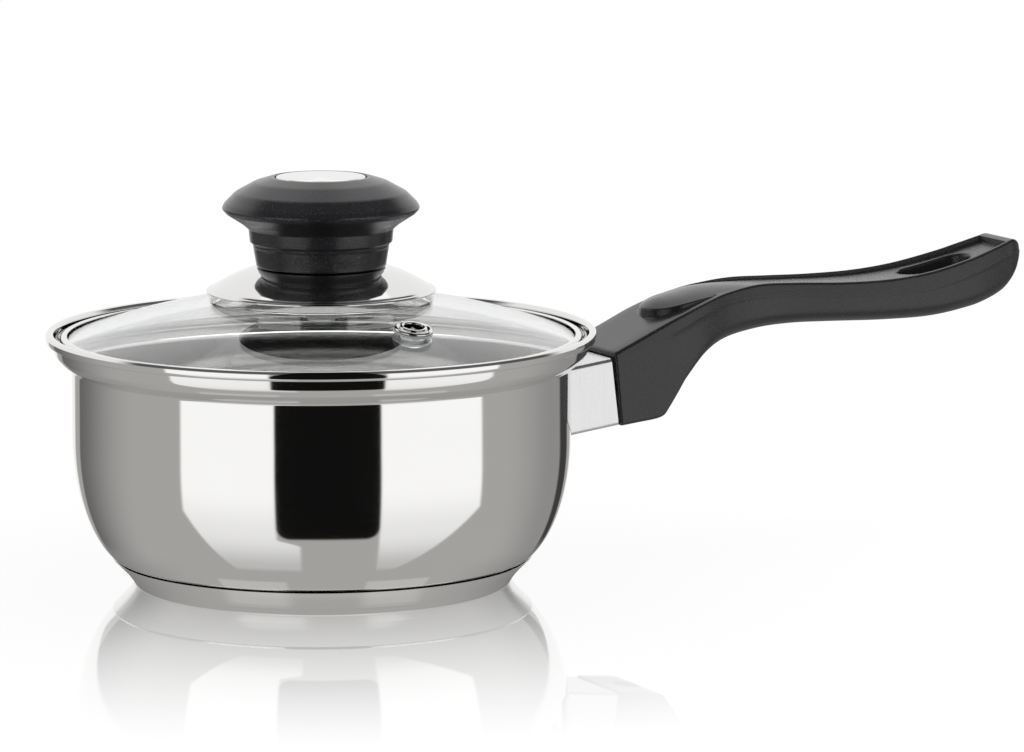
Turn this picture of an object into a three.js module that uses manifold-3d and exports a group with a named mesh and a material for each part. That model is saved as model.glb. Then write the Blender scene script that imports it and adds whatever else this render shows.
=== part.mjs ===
// Saucepan with a glass lid, as separate pieces. Millimetres, +Z up.
// The origin is where the pan's axis meets the surface the pan stands on, and the handle points along +X.

import * as THREE from "three";
import { mergeVertices } from "three/addons/utils/BufferGeometryUtils.js";
import Module from "manifold-3d";

// ---------------------------------------------------------------- driving dimensions

const GAP = 0.3; // running space left between pieces that touch

const PAN = {
  radius: 80.75, // outside of the straight wall
  wall: 0.75,
  floorZ: 6.0, // underside of the drawn body
  cornerR: 20.5, // the rounded bottom corner is a quarter ellipse, this wide
  cornerH: 42.0, // and this high
  creaseZ: 70.2, // where the wall turns outwards into the pouring rim
  beadR: 87.65, // centre of the rolled bead
  beadZ: 80.4,
  bead: 1.41, // half the width of the bead's section
  beadTall: 1.65, // and half its height
};

const BASE = {
  bottomR: 61.4,
  sheet: 0.6, // steel cap under the aluminium core
  lipR: 68.2,
  lipZ: 8.5,
};

const GLASS = {
  sphereR: 240.0, // the dome is part of this sphere
  apexZ: 94.4,
  thick: 4.0,
  edgeR: 83.2,
  holeR: 4.3,
};

const BAND = {
  outerR: 84.3,
  topZ: 81.0,
  bottomZ: 74.3,
  sheet: 0.6,
  lipR: 82.1, // upper lip lies over the glass to here
  footR: 81.2, // lower lip lies under the glass to here
};

const VENT = {
  fromAxis: 55.7,
  azimuth: -84, // degrees from the handle
  bore: 3.1,
  barrel: 3.7,
  flangeR: 6.1,
  holeR: 4.2, // hole in the glass
};

const KNOB = {
  neckR: 20.9,
  neckZ: 102.9,
  wideR: 32.0,
  topZ: 132.0,
  capR: 14.5,
  socketR: 4.3, // bore for the threaded insert
};

const ROSE = { outerR: 37.2, seatZ: 91.95, topZ: 102.6, sheet: 0.8, holeR: 3.2 };

const TILT = THREE.MathUtils.degToRad(7); // the bracket, guard and handle root rise at this angle
const ROOT = { x: 80.75, z: 54.2 }; // where the handle's centre line leaves the pan's wall

const GUARD = { startX: 81.8, length: 18.8, halfWidth: 15.7, low: -11.4, high: 11.4, sheet: 0.8 };

const TONGUE = { start: 2.2, end: 42.0, halfWidth: 9.0, half: 1.5 }; // bracket's flat bar
const SCREW_X = 31.0; // along the tilted centre line

const SLOT = { from: 224.0, to: 237.5, radius: 6.5 }; // centres of the hanging slot's round ends

const ROUND = 48; // facets round the large pieces
const SMALL = 32; // facets round the knob
const TINY = 16; // facets round the fasteners

// ---------------------------------------------------------------- materials

function finish(color, roughness, metalness, more = {}) {
  return new THREE.MeshStandardMaterial({ color, roughness, metalness, ...more });
}

const mirrorSteel = () => finish(0xd8d8da, 0.06, 1.0);
const satinSteel = () => finish(0xc9c9cb, 0.32, 1.0);
const fastenerSteel = () => finish(0xb4b4b6, 0.4, 1.0);
const aluminium = () => finish(0xb9bcc0, 0.45, 1.0);
const brass = () => finish(0xc8a24a, 0.3, 1.0);
const bakelite = () => finish(0x2b2b2f, 0.5, 0.0);
const clearGlass = () => finish(0xe9f1ef, 0.02, 0.0, { transparent: true, opacity: 0.3 });
const silicone = () => finish(0x3a3a3c, 0.7, 0.0);
const nylon = () => finish(0xe6e4dc, 0.5, 0.0);

// ---------------------------------------------------------------- solids

const wasm = await Module();
wasm.setup();

function toSolid(geometry) {
  const bare = geometry.clone();
  bare.deleteAttribute("normal");
  bare.deleteAttribute("uv");
  const merged = mergeVertices(bare, 1e-4);
  const index = merged.index.array;
  const corners = [];
  for (let i = 0; i < index.length; i += 3) {
    const [a, b, c] = [index[i], index[i + 1], index[i + 2]];
    if (a !== b && b !== c && c !== a) corners.push(a, b, c);
  }
  const vertProperties = new Float32Array(merged.attributes.position.array);
  return new wasm.Manifold(new wasm.Mesh({ numProp: 3, vertProperties, triVerts: new Uint32Array(corners) }));
}

function toGeometry(solid) {
  const mesh = solid.getMesh();
  const geometry = new THREE.BufferGeometry();
  geometry.setAttribute("position", new THREE.BufferAttribute(new Float32Array(mesh.vertProperties), 3));
  geometry.setIndex(new THREE.BufferAttribute(new Uint32Array(mesh.triVerts), 1));
  return geometry;
}

function cut(geometry, ...tools) {
  let solid = toSolid(geometry);
  for (const tool of tools) solid = solid.subtract(toSolid(tool));
  return toGeometry(solid);
}

// A body turned about +Z. The profile is [radius, height] pairs that run up the outside.
function turned(profile, facets) {
  const points = profile.map(([r, z]) => new THREE.Vector2(r, z));
  return new THREE.LatheGeometry(points, facets).rotateX(Math.PI / 2);
}

// A turned ring: its profile closes on itself.
function ring(profile, facets) {
  return turned([...profile, profile[0]], facets);
}

// A flat washer, sleeve or disc with a hole.
function washer(innerR, outerR, lowZ, highZ, facets = TINY) {
  return ring([[innerR, lowZ], [outerR, lowZ], [outerR, highZ], [innerR, highZ]], facets);
}

function rod(radius, lowZ, highZ, facets = TINY) {
  return turned([[0, lowZ], [radius, lowZ], [radius, highZ], [0, highZ]], facets);
}

function block(x0, x1, y0, y1, z0, z1) {
  const box = new THREE.BoxGeometry(x1 - x0, y1 - y0, z1 - z0);
  return box.translate((x0 + x1) / 2, (y0 + y1) / 2, (z0 + z1) / 2);
}

// Tilts a geometry made along X so that it rises from the pan's wall at the handle's angle.
function tilted(geometry) {
  return geometry.rotateY(-TILT).translate(ROOT.x, 0, ROOT.z);
}

function arc(centreR, centreZ, radiusR, radiusZ, fromDeg, toDeg, steps) {
  const points = [];
  for (let i = 0; i <= steps; i += 1) {
    const angle = THREE.MathUtils.degToRad(fromDeg + ((toDeg - fromDeg) * i) / steps);
    points.push([centreR + radiusR * Math.cos(angle), centreZ + radiusZ * Math.sin(angle)]);
  }
  return points;
}

const meshes = new THREE.Group();

function piece(name, geometry, material, parent = meshes) {
  const mesh = new THREE.Mesh(geometry, material);
  mesh.name = name;
  parent.add(mesh);
  return mesh;
}

// ---------------------------------------------------------------- pan

function panBody() {
  const { radius, wall, floorZ, cornerR, cornerH, creaseZ, beadR, beadZ, bead, beadTall } = PAN;
  const centreR = radius - cornerR;
  const centreZ = floorZ + cornerH;
  const outside = arc(centreR, centreZ, cornerR, cornerH, -90, 0, 7);
  const inside = arc(centreR, centreZ, cornerR - wall, cornerH - wall, 0, -90, 7);
  return turned([
    [0, floorZ],
    ...outside,
    [radius + 0.03, creaseZ - 0.3],
    [radius + 0.7, creaseZ + 0.75],
    [radius + 3.85, creaseZ + 3.15],
    [radius + 5.4, creaseZ + 5.5],
    [radius + 6.2, creaseZ + 8.6],
    ...arc(beadR, beadZ, bead, beadTall, -75, 200, 7),
    [radius + 5.4, creaseZ + 8.6],
    [radius + 4.7, creaseZ + 5.75],
    [radius + 3.2, creaseZ + 3.65],
    [radius + 0.2, creaseZ + 1.35],
    [radius - wall, creaseZ - 0.1],
    ...inside,
    [0, floorZ + wall],
  ], ROUND);
}

function capProfile(offset) {
  return [
    [BASE.bottomR - offset * 0.6, offset],
    [BASE.bottomR + 0.9 - offset, 2.15 + offset * 0.3],
    [BASE.bottomR + 2.5 - offset, 4.2 + offset * 0.2],
    [BASE.bottomR + 4.5 - offset, 6.3 + offset * 0.2],
    [BASE.lipR - offset, BASE.lipZ],
  ];
}

function baseCap() {
  return turned([[0, 0], ...capProfile(0), ...capProfile(BASE.sheet).reverse(), [0, BASE.sheet]], ROUND);
}

function baseCore() {
  const outline = capProfile(BASE.sheet + GAP).slice(0, 3);
  const topZ = PAN.floorZ - GAP;
  return turned([[0, BASE.sheet + GAP], ...outline, [BASE.bottomR + 1.9, topZ], [0, topZ]], ROUND);
}

// Foot plate that follows the wall, and the flat bar that runs into the handle.
function handleBracket() {
  const foot = washer(PAN.radius + GAP, PAN.radius + 2.4, ROOT.z - 8.5, ROOT.z + 8.5, ROUND);
  const footLimits = block(60, 90, -11, 11, ROOT.z - 9, ROOT.z + 9);
  const bar = tilted(block(TONGUE.start - 0.9, TONGUE.end, -TONGUE.halfWidth, TONGUE.halfWidth,
    -TONGUE.half, TONGUE.half));
  const tapped = tilted(rod(2.8, -5, 5).translate(SCREW_X, 0, 0));
  const wallSpace = rod(PAN.radius + GAP, ROOT.z - 20, ROOT.z + 20, ROUND);
  const plate = toSolid(foot).intersect(toSolid(footLimits));
  return toGeometry(plate.add(toSolid(bar)).subtract(toSolid(tapped)).subtract(toSolid(wallSpace)));
}

// Open-ended sleeve. Its pan end is cut upright, its handle end square to the sleeve.
function flameGuard() {
  const { startX, length, halfWidth, low, high, sheet } = GUARD;
  const outer = tilted(block(-8, length, -halfWidth, halfWidth, low, high));
  const inner = tilted(block(-9, length + 1, -halfWidth + sheet, halfWidth - sheet, low + sheet, high - sheet));
  const panSide = block(startX - 30, startX, -30, 30, ROOT.z - 40, ROOT.z + 40);
  return cut(outer, inner, panSide);
}

// ---------------------------------------------------------------- handle

const SHOULDER = [[98.9, 69.5], [107, 73.0], [115, 76.6], [123, 80.0]];
const HANDLE_TOP = [[131, 82.9], [142, 86.1], [157, 88.0], [172, 87.6], [190, 86.9], [206, 87.0],
  [222, 88.5], [238, 91.7], [256.8, 97.1]];
const HANDLE_END = [[259.7, 95.4], [261.2, 92.4], [260.9, 88.7], [258.3, 83.2], [253.2, 78.3]];
const HANDLE_UNDER = [[240, 74.7], [226, 72.8], [206, 72.6], [186, 73.2], [170, 73.3], [156, 72.3],
  [143, 69.8], [134, 65.3], [126, 57.8], [119.2, 48.9]];
const PANEL_TOP = [[118, 81.4], [128, 83.6], [139, 85.4], [157, 86.9], [172, 86.5], [190, 85.7],
  [206, 85.7], [222, 87.1], [238, 90.1], [254.2, 94.4]];
const HALF_WIDTHS = [[98, 16.5], [122, 16.5], [132, 15.6], [145, 12.9], [160, 11.0], [172, 11.4],
  [190, 13.5], [206, 14.4], [224, 14.2], [242, 12.6], [254, 10.6], [259, 9.2], [261.4, 6.4]];
const PANEL_WIDTHS = [[122, 8.6], [126, 10.4], [132, 11.4], [145, 11.2], [160, 9.6], [172, 10.0],
  [190, 12.1], [206, 13.0], [224, 12.8], [242, 11.2], [254.2, 9.4]];

const vectors = (pairs) => pairs.map(([a, b]) => new THREE.Vector2(a, b));

// A side outline, drawn in X and Z, given a width along Y.
function sideSlab(shape, divisions, halfWidth) {
  const solid = new THREE.ExtrudeGeometry(shape, {
    depth: halfWidth * 2, bevelEnabled: false, curveSegments: divisions,
  });
  return toSolid(solid.translate(0, 0, -halfWidth).rotateX(Math.PI / 2));
}

// A plan outline, drawn in X and Y, given a height along Z.
function planSlab(shape, divisions, lowZ, highZ) {
  const solid = new THREE.ExtrudeGeometry(shape, {
    depth: highZ - lowZ, bevelEnabled: false, curveSegments: divisions,
  });
  return toSolid(solid.translate(0, 0, lowZ));
}

function handleSide() {
  const shape = new THREE.Shape();
  shape.moveTo(101.5, 44.9);
  shape.lineTo(114.5, 46.3);
  shape.lineTo(117.6, 47.2);
  shape.lineTo(...HANDLE_UNDER.at(-1));
  shape.splineThru(vectors([...HANDLE_UNDER].reverse().slice(1)));
  shape.splineThru(vectors([...HANDLE_END].reverse()));
  shape.splineThru(vectors([...HANDLE_TOP].reverse()));
  for (const point of [...SHOULDER].reverse()) shape.lineTo(...point);
  shape.closePath();
  return sideSlab(shape, 2, 20);
}

function symmetricPlan(halfWidths) {
  const shape = new THREE.Shape();
  const mirrored = halfWidths.map(([x, y]) => [x, -y]);
  shape.moveTo(...mirrored[0]);
  shape.splineThru(vectors(mirrored.slice(1)));
  shape.lineTo(...halfWidths.at(-1));
  shape.splineThru(vectors([...halfWidths].reverse().slice(1)));
  shape.closePath();
  return shape;
}

function panelPlan() {
  const tip = [[118, 0], [118.7, 3.6], [120, 6.6]];
  const half = [...tip, ...PANEL_WIDTHS];
  return symmetricPlan(half);
}

// The space between the panel's surface and a level a set distance above or below it.
function panelLayer(offset) {
  const shape = new THREE.Shape();
  const shifted = PANEL_TOP.map(([x, z]) => [x, z + offset]);
  shape.moveTo(...PANEL_TOP[0]);
  shape.splineThru(vectors(PANEL_TOP.slice(1)));
  shape.lineTo(...shifted.at(-1));
  shape.splineThru(vectors([...shifted].reverse().slice(1)));
  shape.closePath();
  return sideSlab(shape, 2, 20);
}

function hangingSlot() {
  const { from, to, radius } = SLOT;
  const shape = new THREE.Shape();
  shape.absarc(to, 0, radius, -Math.PI / 2, Math.PI / 2, false);
  shape.absarc(from, 0, radius, Math.PI / 2, (3 * Math.PI) / 2, false);
  shape.closePath();
  return planSlab(shape, 8, 60, 110);
}

function handle() {
  const { end, halfWidth, half } = TONGUE;
  const blank = handleSide().intersect(planSlab(symmetricPlan(HALF_WIDTHS), 2, 30, 120));
  const panel = planSlab(panelPlan(), 2, 60, 120);
  const space = GAP + 0.1;
  const socket = tilted(block(GUARD.length, end + 1, -halfWidth - space, halfWidth + space, -half - space,
    half + space));
  const bore = tilted(rod(2.9, -30, 0).translate(SCREW_X, 0, 0));
  const clearance = tilted(rod(2.9, 0, 4.2).translate(SCREW_X, 0, 0));
  const counterbore = tilted(rod(5.2, -30, -6.0).translate(SCREW_X, 0, 0));
  return toGeometry(blank
    .add(panel.intersect(panelLayer(-6)))
    .subtract(panel.intersect(panelLayer(8)))
    .subtract(hangingSlot())
    .subtract(toSolid(socket))
    .subtract(toSolid(bore))
    .subtract(toSolid(clearance))
    .subtract(toSolid(counterbore)));
}

// Pan-head screw from below, drawn upright about its own axis.
function handleScrew() {
  const head = 4.4;
  return turned([[0, -10.4], [head - 0.8, -10.4], [head, -9.6], [head, -7.6], [2.5, -7.6], [2.5, 3.6], [0, 3.6]],
    TINY);
}

// ---------------------------------------------------------------- lid

function domeZ(r, depth = 0) {
  const { sphereR, apexZ } = GLASS;
  return apexZ - sphereR + Math.sqrt((sphereR - depth) ** 2 - r ** 2);
}

function lidGlass() {
  const { holeR, edgeR, thick } = GLASS;
  const radii = [0, 1, 2, 3, 4, 5].map((i) => holeR + ((edgeR - holeR) * i) / 5);
  const top = [...radii].reverse().map((r) => [r, domeZ(r)]);
  const under = radii.map((r) => [r, domeZ(r, thick)]);
  const blank = ring([...under, ...top], ROUND);
  return cut(blank, ventPlaced(rod(VENT.holeR, -8, 4)));
}

function lidRimBand() {
  const { outerR, topZ, bottomZ, sheet, lipR, footR } = BAND;
  const inner = outerR - sheet;
  return ring([
    [footR, bottomZ + 0.3],
    [footR + 0.4, bottomZ],
    [outerR - 0.5, bottomZ],
    [outerR, bottomZ + 0.5],
    [outerR, topZ - 0.7],
    [outerR - 0.5, topZ],
    [lipR, topZ],
    [lipR, topZ - sheet],
    [inner - 0.2, topZ - sheet],
    [inner, topZ - sheet - 0.2],
    [inner, bottomZ + sheet + 0.2],
    [inner - 0.2, bottomZ + sheet],
    [footR, bottomZ + sheet],
  ], ROUND);
}

// Moves a piece drawn about its own axis on to the vent, square to the glass.
function ventPlaced(geometry) {
  const { sphereR, apexZ } = GLASS;
  const lean = Math.asin(VENT.fromAxis / sphereR);
  geometry.translate(0, 0, sphereR).rotateY(lean).translate(0, 0, apexZ - sphereR);
  return geometry.rotateZ(THREE.MathUtils.degToRad(VENT.azimuth));
}

function ventEyelet() {
  const { bore, barrel, flangeR } = VENT;
  return ventPlaced(ring([
    [bore, -5.9],
    [4.9, -5.9],
    [5.0, -5.4],
    [barrel, -5.2],
    [barrel, 1.1],
    [flangeR, 1.1],
    [flangeR, 1.5],
    [5.4, 1.95],
    [4.5, 1.7],
    [3.9, 2.3],
    [bore + 0.2, 2.4],
    [bore, 2.2],
  ], 24));
}

function knobRose() {
  const { outerR, seatZ, topZ, sheet, holeR } = ROSE;
  return ring([
    [outerR - 1.1, seatZ],
    [outerR - 0.5, seatZ + 0.8],
    [outerR, seatZ + 2.6],
    [outerR - 0.4, seatZ + 3.3],
    [35.6, 95.9],
    [31.0, 98.6],
    [27.5, 100.3],
    [24.0, 101.7],
    [21.0, topZ],
    [holeR, topZ],
    [holeR, topZ - sheet],
    [20.8, topZ - sheet],
    [27.2, 99.5],
    [35.2, 95.1],
    [outerR - 1.2, seatZ + 2.4],
    [outerR - 1.7, seatZ + 0.1],
  ], SMALL);
}

function knob() {
  const { neckR, neckZ, wideR, topZ, capR, socketR } = KNOB;
  return ring([
    [18.4, neckZ],
    [neckR, neckZ],
    [21.4, 106.8],
    [21.9, 109.9],
    [23.0, 111.0],
    [23.4, 114.8],
    [25.6, 116.8],
    [30.8, 120.2],
    [wideR, 121.6],
    [31.2, 123.4],
    [27.7, 126.8],
    [21.5, 130.2],
    [16.2, topZ - 0.2],
    [capR + 0.4, topZ - 0.2],
    [capR + 0.4, topZ - 1.5],
    [0, topZ - 1.5],
    [0, 117.0],
    [socketR, 117.0],
    [socketR, neckZ + 0.8],
    [8.4, neckZ + 0.8],
    [8.8, 114.0],
    [17.6, 114.0],
  ], SMALL);
}

// ---------------------------------------------------------------- assembly

piece("pan_body", panBody(), mirrorSteel());
piece("base_core", baseCore(), aluminium());
piece("base_cap", baseCap(), satinSteel());
piece("handle_bracket", handleBracket(), fastenerSteel());
piece("flame_guard", flameGuard(), satinSteel());
piece("handle", handle(), bakelite());

// The handle screw and its washer stand square to the tilted bar, under it.
const screwSeat = new THREE.Group();
screwSeat.position.set(
  ROOT.x + SCREW_X * Math.cos(TILT),
  0,
  ROOT.z + SCREW_X * Math.sin(TILT),
);
screwSeat.rotation.y = -TILT;
meshes.add(screwSeat);
piece("handle_screw", handleScrew(), fastenerSteel(), screwSeat);
piece("handle_lock_washer", washer(2.85, 4.6, -7.25, -6.35), fastenerSteel(), screwSeat);

piece("lid_glass", lidGlass(), clearGlass());
piece("lid_rim_band", lidRimBand(), mirrorSteel());
piece("vent_gasket", ventPlaced(washer(4.0, 6.3, 0.3, 0.8, 24)), silicone());
piece("vent_eyelet", ventEyelet(), mirrorSteel());
piece("vent_washer", ventPlaced(washer(4.1, 6.3, -4.9, -4.3, 24)), fastenerSteel());

piece("knob_rose", knobRose(), mirrorSteel());
piece("rose_gasket", washer(32.8, 34.6, domeZ(32.8) + 0.4, domeZ(32.8) + 1.2, SMALL), silicone());
piece("glass_bush", ring([[2.8, 90.3], [3.9, 90.3], [3.9, 94.75], [6.5, 94.75], [6.5, 101.5], [2.8, 101.5]], TINY),
  nylon());
piece("lower_gasket", washer(2.9, 8.0, 88.9, 89.9), silicone());
piece("lower_washer", washer(2.8, 9.5, 87.7, 88.6), fastenerSteel());
piece("spring_washer", washer(2.8, 4.6, 86.2, 87.4), fastenerSteel());
piece("knob_screw", turned([[0, 83.2], [3.9, 83.2], [4.7, 84.0], [4.7, 85.9], [2.4, 85.9], [2.4, 113.0], [0, 113.0]],
  TINY), fastenerSteel());
piece("knob_insert", washer(2.75, 4.0, 104.2, 115.6), brass());
piece("knob", knob(), bakelite());
piece("knob_cap", turned([[0, 130.9], [KNOB.capR, 130.9], [KNOB.capR, 131.5], [KNOB.capR - 0.7, 131.9],
  [6.0, KNOB.topZ], [0, KNOB.topZ]], SMALL), mirrorSteel());

export default meshes;
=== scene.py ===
"""Saucepan with a glass lid: the finished pieces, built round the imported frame.

Outlines are in millimetres.
"""

import math

import bmesh
import bpy
from mathutils import Matrix, Vector


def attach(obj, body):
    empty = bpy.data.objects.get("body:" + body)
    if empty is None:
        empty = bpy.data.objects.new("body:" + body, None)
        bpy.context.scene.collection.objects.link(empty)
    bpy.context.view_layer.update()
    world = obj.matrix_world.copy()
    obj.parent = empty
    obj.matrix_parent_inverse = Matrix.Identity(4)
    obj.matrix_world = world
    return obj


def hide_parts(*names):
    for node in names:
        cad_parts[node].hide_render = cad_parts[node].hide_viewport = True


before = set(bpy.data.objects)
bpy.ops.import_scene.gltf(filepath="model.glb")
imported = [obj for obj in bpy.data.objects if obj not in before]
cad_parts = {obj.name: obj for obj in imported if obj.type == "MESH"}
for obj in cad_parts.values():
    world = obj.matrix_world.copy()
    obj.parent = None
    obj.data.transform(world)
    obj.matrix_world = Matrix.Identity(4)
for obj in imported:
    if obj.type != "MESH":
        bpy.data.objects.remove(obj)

bl_info = {
    "name": "Saucepan with glass lid",
    "version": (1, 0, 0),
    "blender": (4, 5, 0),
    "location": "3D View > Sidebar > Saucepan",
    "description": "Builds the polished, moulded and glass pieces of a saucepan round its frame",
    "category": "Add Mesh",
}

MM = 0.001

# Sizes and places that several functions share, in millimetres, and angles in radians unless noted.
PAN_R, PAN_WALL, PAN_FLOOR_Z = 80.75, 0.75, 6.0
CORNER_R, CORNER_H = 20.5, 42.0
CREASE_Z = 70.2
BEAD_R, BEAD_Z, BEAD, BEAD_TALL = 87.65, 80.4, 1.41, 1.65
CAP_R, CAP_LIP_R, CAP_LIP_Z, CAP_SHEET = 61.4, 68.2, 8.5, 0.6
SPHERE_R, APEX_Z, GLASS_THICK, GLASS_R, GLASS_HOLE_R = 240.0, 94.4, 4.0, 83.2, 4.3
VENT_FROM_AXIS, VENT_AZIMUTH, VENT_HOLE_R = 55.7, -84.0, 4.2  # the azimuth in degrees
TILT = math.radians(7.0)
ROOT_X, ROOT_Z = 80.75, 54.2
SCREW_ALONG = 31.0
HANDLE_SCREW_LOW, KNOB_SCREW_LOW = -10.4, 83.2  # the lowest points of the two screws' heads
GUARD_HALF_WIDTH, GUARD_HALF_HEIGHT = 15.7, 11.4
VIEW_TURN = math.radians(27.0)  # the camera's azimuth, from straight in front of the pan
SEEN_TURN, SEEN_RISE = math.radians(25.0), math.radians(9.3)  # from the pan's middle to the camera


# ---------------------------------------------------------------- node trees


class Wire:
    """A node socket that ordinary arithmetic works on."""

    def __init__(self, board, socket):
        self.board = board
        self.socket = socket

    def __add__(self, other):
        return self.board.maths("ADD", self, other)

    __radd__ = __add__

    def __sub__(self, other):
        return self.board.maths("SUBTRACT", self, other)

    def __rsub__(self, other):
        return self.board.maths("SUBTRACT", other, self)

    def __mul__(self, other):
        return self.board.maths("MULTIPLY", self, other)

    __rmul__ = __mul__

    def __truediv__(self, other):
        return self.board.maths("DIVIDE", self, other)

    def __rtruediv__(self, other):
        return self.board.maths("DIVIDE", other, self)

    def __pow__(self, other):
        return self.board.maths("POWER", self, other)


class Board:
    """Puts nodes on a tree, for materials and for geometry alike."""

    def __init__(self, tree):
        self.tree = tree

    def plug(self, socket, value):
        if isinstance(value, Wire):
            self.tree.links.new(value.socket, socket)
        else:
            socket.default_value = value

    def node(self, kind, settings=None, sockets=None, outlet=0):
        """Adds a node: its settings first, then values or wires for its sockets. Returns one outlet."""
        made = self.tree.nodes.new(kind)
        for key, value in (settings or {}).items():
            if key == "stops":
                ramp = made.color_ramp
                while len(ramp.elements) < len(value):
                    ramp.elements.new(0.5)
                for element, (place, level) in zip(ramp.elements, value):
                    element.position = place
                    element.color = (level, level, level, 1.0)
            else:
                setattr(made, key, value)
        for key, value in (sockets or {}).items():
            self.plug(made.inputs[key], value)
        return Wire(self, made.outputs[outlet])

    def maths(self, operation, first, second=0.0):
        return self.node("ShaderNodeMath", {"operation": operation}, {0: first, 1: second})

    def step(self, value, low, high):
        """0 below low, 1 above high, and smooth between them."""
        return self.node(
            "ShaderNodeMapRange",
            {"interpolation_type": "SMOOTHSTEP"},
            {"Value": value, "From Min": low, "From Max": high},
        )

    def split(self, vector):
        """The X, Y and Z wires of a vector."""
        made = self.node("ShaderNodeSeparateXYZ", sockets={0: vector}).socket.node
        return [Wire(self, outlet) for outlet in made.outputs]

    def join(self, x, y, z):
        return self.node("ShaderNodeCombineXYZ", sockets={0: x, 1: y, 2: z})


class Finish(Board):
    """One material. Its constants are set on the shader itself, its patterns read Object coordinates."""

    def __init__(self, name, **constants):
        self.material = bpy.data.materials.new(name)
        self.material.use_nodes = True
        super().__init__(self.material.node_tree)
        self.shader = self.tree.nodes["Principled BSDF"]
        for key, value in constants.items():
            self.shader.inputs[key.replace("_", " ")].default_value = value
        self.place = self.node("ShaderNodeTexCoord", outlet=3)

    def noise(self, scale, vector=None, detail=2.0, roughness=0.5):
        return self.node(
            "ShaderNodeTexNoise",
            {"noise_dimensions": "3D"},
            {"Vector": vector or self.place, "Scale": scale, "Detail": detail, "Roughness": roughness},
        )

    def tint(self, amount, low, high):
        """A colour that goes from low to high as amount goes from 0 to 1."""
        mixed = self.tree.nodes.new("ShaderNodeMix")
        mixed.data_type = "RGBA"
        self.plug(mixed.inputs[0], amount)
        mixed.inputs[6].default_value = (*low, 1.0)
        mixed.inputs[7].default_value = (*high, 1.0)
        return Wire(self, mixed.outputs[2])

    def relief(self, height, distance, strength=1.0):
        """Bumps the surface by height times distance, in metres."""
        sockets = {"Strength": strength, "Distance": distance, "Height": height}
        bump = self.node("ShaderNodeBump", sockets=sockets)
        self.plug(self.shader.inputs["Normal"], bump)

    def feed(self, **inlets):
        for key, value in inlets.items():
            self.plug(self.shader.inputs[key.replace("_", " ")], value)

    def round_place(self, across, along):
        """Coordinates for lines that run round the Z axis: fine along radius and height, slow round it."""
        x, y, z = self.split(self.place)
        radius = self.maths("SQRT", x * x + y * y)
        return self.join(x * across, y * across, (z + radius) * along)


FINISHES = {}


def finish_named(name):
    """The material of that name, made the first time that it is asked for."""
    if name not in FINISHES:
        FINISHES[name] = FINISH_MAKERS[name]()
    return FINISHES[name]


def mirror_steel():
    """Polished stainless steel: a mirror with faint buffing lines that run round the pan."""
    colour = bpy.context.scene.saucepan_finishes.steel
    finish = Finish("mirror_steel", Metallic=1.0, Roughness=0.04)
    lines = finish.noise(1.0, finish.round_place(14.0, 2600.0), detail=3.0, roughness=0.6)
    cloud = finish.noise(38.0, detail=2.0)
    finish.feed(
        Base_Color=finish.tint(cloud, [c * 0.965 for c in colour], colour),
        Roughness=0.03 + 0.03 * cloud + 0.02 * lines,
    )
    finish.relief(lines, 0.0000012)
    return finish.material


def satin_steel():
    """Brushed sheet steel with short upright streaks."""
    colour = bpy.context.scene.saucepan_finishes.satin
    finish = Finish("satin_steel", Metallic=1.0)
    x, y, z = finish.split(finish.place)
    streaks = finish.noise(1.0, finish.join(x * 1500.0, y * 1500.0, z * 45.0), detail=3.0, roughness=0.65)
    cloud = finish.noise(60.0)
    finish.feed(
        Base_Color=finish.tint(streaks, [c * 0.78 for c in colour], colour),
        Roughness=0.18 + 0.14 * streaks + 0.05 * cloud,
    )
    finish.relief(streaks, 0.000014)
    return finish.material


def turned_steel():
    """The base's steel: satin, with fine rings left by the spinning lathe."""
    colour = bpy.context.scene.saucepan_finishes.steel
    finish = Finish("turned_steel", Metallic=1.0)
    rings = finish.noise(1.0, finish.round_place(9.0, 1900.0), detail=4.0, roughness=0.7)
    cloud = finish.noise(45.0)
    finish.feed(
        Base_Color=finish.tint(rings, [c * 0.9 for c in colour], colour),
        Roughness=0.1 + 0.08 * rings + 0.05 * cloud,
    )
    finish.relief(rings, 0.000004)
    return finish.material


def plated_steel():
    """Zinc-plated screws and washers: dull, slightly mottled."""
    finish = Finish("plated_steel", Metallic=1.0)
    mottle = finish.noise(700.0, detail=3.0)
    finish.feed(
        Base_Color=finish.tint(mottle, (0.44, 0.44, 0.46), (0.6, 0.6, 0.62)),
        Roughness=0.26 + 0.2 * mottle,
    )
    finish.relief(mottle, 0.00001)
    return finish.material


def cast_aluminium():
    finish = Finish("cast_aluminium", Metallic=1.0)
    grain = finish.noise(900.0, detail=4.0)
    finish.feed(
        Base_Color=finish.tint(grain, (0.5, 0.51, 0.53), (0.66, 0.67, 0.7)),
        Roughness=0.38 + 0.16 * grain,
    )
    finish.relief(grain, 0.00002)
    return finish.material


def turned_brass():
    finish = Finish("turned_brass", Metallic=1.0)
    rings = finish.noise(1.0, finish.round_place(20.0, 2200.0), detail=3.0)
    finish.feed(
        Base_Color=finish.tint(rings, (0.6, 0.42, 0.16), (0.78, 0.58, 0.25)),
        Roughness=0.25 + 0.15 * rings,
    )
    finish.relief(rings, 0.000006)
    return finish.material


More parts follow.
